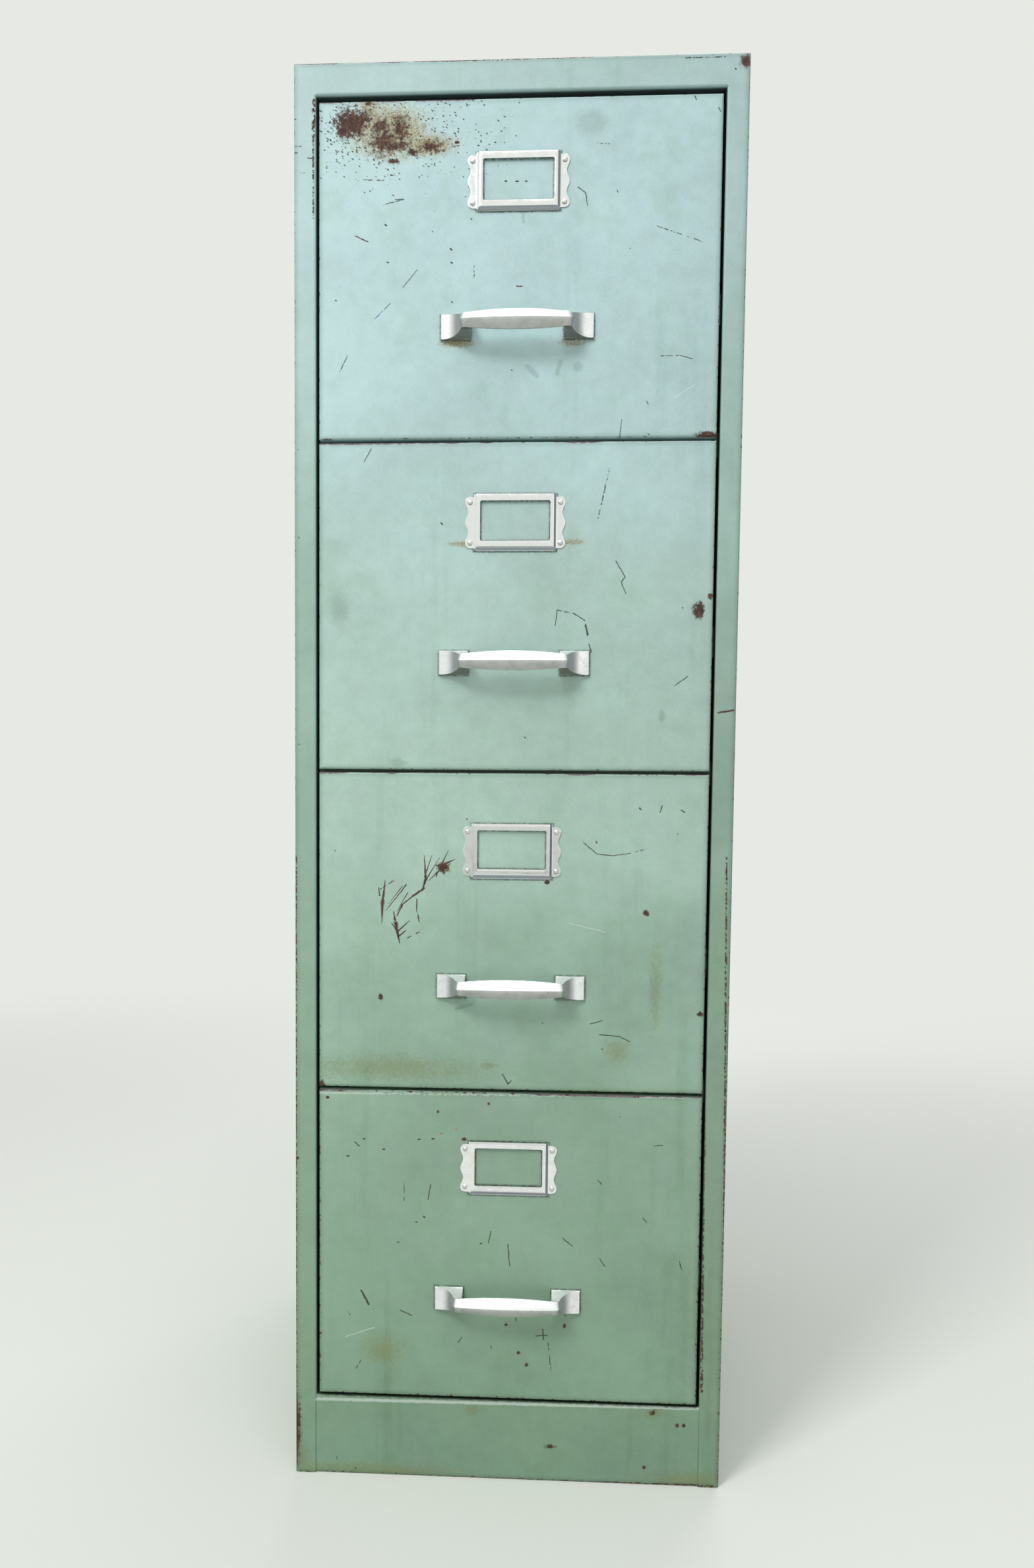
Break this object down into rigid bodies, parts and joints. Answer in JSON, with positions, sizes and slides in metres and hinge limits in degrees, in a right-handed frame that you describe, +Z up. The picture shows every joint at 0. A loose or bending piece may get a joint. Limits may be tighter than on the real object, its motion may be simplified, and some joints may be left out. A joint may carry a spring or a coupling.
{
  "type": "filing cabinet",
  "caption": "Tall upright steel filing cabinet with stacked drawers on telescopic roller runners, cast bow pulls, card holders and a plinth.",
  "frame": {"origin": "on the floor, under the middle of the cabinet's width and of its whole depth with the pulls", "axes": "+Z up, drawers face -Y and slide out along -Y, +X to the right seen from the front"},
  "size_m": [0.41, 0.648, 1.32],
  "materials": {
    "cabinet_paint": "semi-gloss sage green enamel, worn, scratched and chipped to rust",
    "inner_paint": "satin sage green enamel, less worn than the outside",
    "pull_metal": "satin cast aluminium, speckled with small pits",
    "holder_metal": "satin pressed aluminium",
    "rivet_metal": "bright aluminium rivet",
    "screw_steel": "zinc plated steel",
    "runner_steel": "zinc plated, rolled steel with light grease marks",
    "roller_steel": "turned steel, polished by rolling",
    "buffer_rubber": "dull black rubber"
  },
  "bodies": {
    "casing": {"left_side": "cabinet_paint", "right_side": "cabinet_paint", "top_panel": "cabinet_paint", "back_panel": "cabinet_paint", "plinth": "cabinet_paint", "cabinet_floor": "inner_paint", "runner_posts": "inner_paint", "cross_rails": "inner_paint", "casing_runners": "runner_steel", "rubber_buffers": "buffer_rubber"},
    "drawer_1": {"drawer_1_front": "cabinet_paint", "drawer_1_tray": "inner_paint", "drawer_1_handle": "pull_metal", "drawer_1_handle_screws": "screw_steel", "drawer_1_label_holder": "holder_metal", "drawer_1_label_rivets": "rivet_metal", "drawer_1_runners": "runner_steel"},
    "cradle_1": {"cradle_1": "runner_steel"},
    "casing_rollers_1": {"casing_rollers_1": "roller_steel"},
    "cradle_rear_rollers_1": {"cradle_rear_rollers_1": "roller_steel"},
    "cradle_front_rollers_1": {"cradle_front_rollers_1": "roller_steel"},
    "drawer_rollers_1": {"drawer_rollers_1": "roller_steel"},
    "drawer_2": {"drawer_2_front": "cabinet_paint", "drawer_2_tray": "inner_paint", "drawer_2_handle": "pull_metal", "drawer_2_handle_screws": "screw_steel", "drawer_2_label_holder": "holder_metal", "drawer_2_label_rivets": "rivet_metal", "drawer_2_runners": "runner_steel"},
    "cradle_2": {"cradle_2": "runner_steel"},
    "casing_rollers_2": {"casing_rollers_2": "roller_steel"},
    "cradle_rear_rollers_2": {"cradle_rear_rollers_2": "roller_steel"},
    "cradle_front_rollers_2": {"cradle_front_rollers_2": "roller_steel"},
    "drawer_rollers_2": {"drawer_rollers_2": "roller_steel"},
    "drawer_3": {"drawer_3_front": "cabinet_paint", "drawer_3_tray": "inner_paint", "drawer_3_handle": "pull_metal", "drawer_3_handle_screws": "screw_steel", "drawer_3_label_holder": "holder_metal", "drawer_3_label_rivets": "rivet_metal", "drawer_3_runners": "runner_steel"},
    "cradle_3": {"cradle_3": "runner_steel"},
    "casing_rollers_3": {"casing_rollers_3": "roller_steel"},
    "cradle_rear_rollers_3": {"cradle_rear_rollers_3": "roller_steel"},
    "cradle_front_rollers_3": {"cradle_front_rollers_3": "roller_steel"},
    "drawer_rollers_3": {"drawer_rollers_3": "roller_steel"},
    "drawer_4": {"drawer_4_front": "cabinet_paint", "drawer_4_tray": "inner_paint", "drawer_4_handle": "pull_metal", "drawer_4_handle_screws": "screw_steel", "drawer_4_label_holder": "holder_metal", "drawer_4_label_rivets": "rivet_metal", "drawer_4_runners": "runner_steel"},
    "cradle_4": {"cradle_4": "runner_steel"},
    "casing_rollers_4": {"casing_rollers_4": "roller_steel"},
    "cradle_rear_rollers_4": {"cradle_rear_rollers_4": "roller_steel"},
    "cradle_front_rollers_4": {"cradle_front_rollers_4": "roller_steel"},
    "drawer_rollers_4": {"drawer_rollers_4": "roller_steel"}
  },
  "joints": [
    {"name": "drawer_1_slide", "type": "slide", "parent": "casing", "child": "drawer_1", "axis": [0, -1, 0], "range_m": [0, 0.52]},
    {"name": "cradle_1_slide", "type": "slide", "parent": "casing", "child": "cradle_1", "axis": [0, -1, 0], "range_m": [0, 0.26]},
    {"name": "casing_rollers_1_turn", "type": "hinge", "parent": "casing", "child": "casing_rollers_1", "pos_m": [0, -0.256, 1.107], "axis": [1, 0, 0], "range_deg": [0, 1360]},
    {"name": "cradle_rear_rollers_1_turn", "type": "hinge", "parent": "cradle_1", "child": "cradle_rear_rollers_1", "pos_m": [0, 0.269, 1.107], "axis": [1, 0, 0], "range_deg": [0, 1360]},
    {"name": "cradle_front_rollers_1_turn", "type": "hinge", "parent": "cradle_1", "child": "cradle_front_rollers_1", "pos_m": [0, -0.256, 1.1053], "axis": [1, 0, 0], "range_deg": [0, 1360]},
    {"name": "drawer_rollers_1_turn", "type": "hinge", "parent": "drawer_1", "child": "drawer_rollers_1", "pos_m": [0, 0.269, 1.1053], "axis": [1, 0, 0], "range_deg": [0, 1360]},
    {"name": "drawer_2_slide", "type": "slide", "parent": "casing", "child": "drawer_2", "axis": [0, -1, 0], "range_m": [0, 0.52]},
    {"name": "cradle_2_slide", "type": "slide", "parent": "casing", "child": "cradle_2", "axis": [0, -1, 0], "range_m": [0, 0.26]},
    {"name": "casing_rollers_2_turn", "type": "hinge", "parent": "casing", "child": "casing_rollers_2", "pos_m": [0, -0.256, 0.805], "axis": [1, 0, 0], "range_deg": [0, 1360]},
    {"name": "cradle_rear_rollers_2_turn", "type": "hinge", "parent": "cradle_2", "child": "cradle_rear_rollers_2", "pos_m": [0, 0.269, 0.805], "axis": [1, 0, 0], "range_deg": [0, 1360]},
    {"name": "cradle_front_rollers_2_turn", "type": "hinge", "parent": "cradle_2", "child": "cradle_front_rollers_2", "pos_m": [0, -0.256, 0.8033], "axis": [1, 0, 0], "range_deg": [0, 1360]},
    {"name": "drawer_rollers_2_turn", "type": "hinge", "parent": "drawer_2", "child": "drawer_rollers_2", "pos_m": [0, 0.269, 0.8033], "axis": [1, 0, 0], "range_deg": [0, 1360]},
    {"name": "drawer_3_slide", "type": "slide", "parent": "casing", "child": "drawer_3", "axis": [0, -1, 0], "range_m": [0, 0.52]},
    {"name": "cradle_3_slide", "type": "slide", "parent": "casing", "child": "cradle_3", "axis": [0, -1, 0], "range_m": [0, 0.26]},
    {"name": "casing_rollers_3_turn", "type": "hinge", "parent": "casing", "child": "casing_rollers_3", "pos_m": [0, -0.256, 0.503], "axis": [1, 0, 0], "range_deg": [0, 1360]},
    {"name": "cradle_rear_rollers_3_turn", "type": "hinge", "parent": "cradle_3", "child": "cradle_rear_rollers_3", "pos_m": [0, 0.269, 0.503], "axis": [1, 0, 0], "range_deg": [0, 1360]},
    {"name": "cradle_front_rollers_3_turn", "type": "hinge", "parent": "cradle_3", "child": "cradle_front_rollers_3", "pos_m": [0, -0.256, 0.5013], "axis": [1, 0, 0], "range_deg": [0, 1360]},
    {"name": "drawer_rollers_3_turn", "type": "hinge", "parent": "drawer_3", "child": "drawer_rollers_3", "pos_m": [0, 0.269, 0.5013], "axis": [1, 0, 0], "range_deg": [0, 1360]},
    {"name": "drawer_4_slide", "type": "slide", "parent": "casing", "child": "drawer_4", "axis": [0, -1, 0], "range_m": [0, 0.52]},
    {"name": "cradle_4_slide", "type": "slide", "parent": "casing", "child": "cradle_4", "axis": [0, -1, 0], "range_m": [0, 0.26]},
    {"name": "casing_rollers_4_turn", "type": "hinge", "parent": "casing", "child": "casing_rollers_4", "pos_m": [0, -0.256, 0.201], "axis": [1, 0, 0], "range_deg": [0, 1360]},
    {"name": "cradle_rear_rollers_4_turn", "type": "hinge", "parent": "cradle_4", "child": "cradle_rear_rollers_4", "pos_m": [0, 0.269, 0.201], "axis": [1, 0, 0], "range_deg": [0, 1360]},
    {"name": "cradle_front_rollers_4_turn", "type": "hinge", "parent": "cradle_4", "child": "cradle_front_rollers_4", "pos_m": [0, -0.256, 0.1993], "axis": [1, 0, 0], "range_deg": [0, 1360]},
    {"name": "drawer_rollers_4_turn", "type": "hinge", "parent": "drawer_4", "child": "drawer_rollers_4", "pos_m": [0, 0.269, 0.1993], "axis": [1, 0, 0], "range_deg": [0, 1360]}
  ],
  "couplings": [
    {"joint": "cradle_1_slide", "follows": "drawer_1_slide", "ratio": 0.5},
    {"joint": "casing_rollers_1_turn", "follows": "drawer_1_slide", "rad_per_m": 45.455},
    {"joint": "cradle_rear_rollers_1_turn", "follows": "drawer_1_slide", "rad_per_m": 45.455},
    {"joint": "cradle_front_rollers_1_turn", "follows": "drawer_1_slide", "rad_per_m": 45.455},
    {"joint": "drawer_rollers_1_turn", "follows": "drawer_1_slide", "rad_per_m": 45.455},
    {"joint": "cradle_2_slide", "follows": "drawer_2_slide", "ratio": 0.5},
    {"joint": "casing_rollers_2_turn", "follows": "drawer_2_slide", "rad_per_m": 45.455},
    {"joint": "cradle_rear_rollers_2_turn", "follows": "drawer_2_slide", "rad_per_m": 45.455},
    {"joint": "cradle_front_rollers_2_turn", "follows": "drawer_2_slide", "rad_per_m": 45.455},
    {"joint": "drawer_rollers_2_turn", "follows": "drawer_2_slide", "rad_per_m": 45.455},
    {"joint": "cradle_3_slide", "follows": "drawer_3_slide", "ratio": 0.5},
    {"joint": "casing_rollers_3_turn", "follows": "drawer_3_slide", "rad_per_m": 45.455},
    {"joint": "cradle_rear_rollers_3_turn", "follows": "drawer_3_slide", "rad_per_m": 45.455},
    {"joint": "cradle_front_rollers_3_turn", "follows": "drawer_3_slide", "rad_per_m": 45.455},
    {"joint": "drawer_rollers_3_turn", "follows": "drawer_3_slide", "rad_per_m": 45.455},
    {"joint": "cradle_4_slide", "follows": "drawer_4_slide", "ratio": 0.5},
    {"joint": "casing_rollers_4_turn", "follows": "drawer_4_slide", "rad_per_m": 45.455},
    {"joint": "cradle_rear_rollers_4_turn", "follows": "drawer_4_slide", "rad_per_m": 45.455},
    {"joint": "cradle_front_rollers_4_turn", "follows": "drawer_4_slide", "rad_per_m": 45.455},
    {"joint": "drawer_rollers_4_turn", "follows": "drawer_4_slide", "rad_per_m": 45.455}
  ]
}
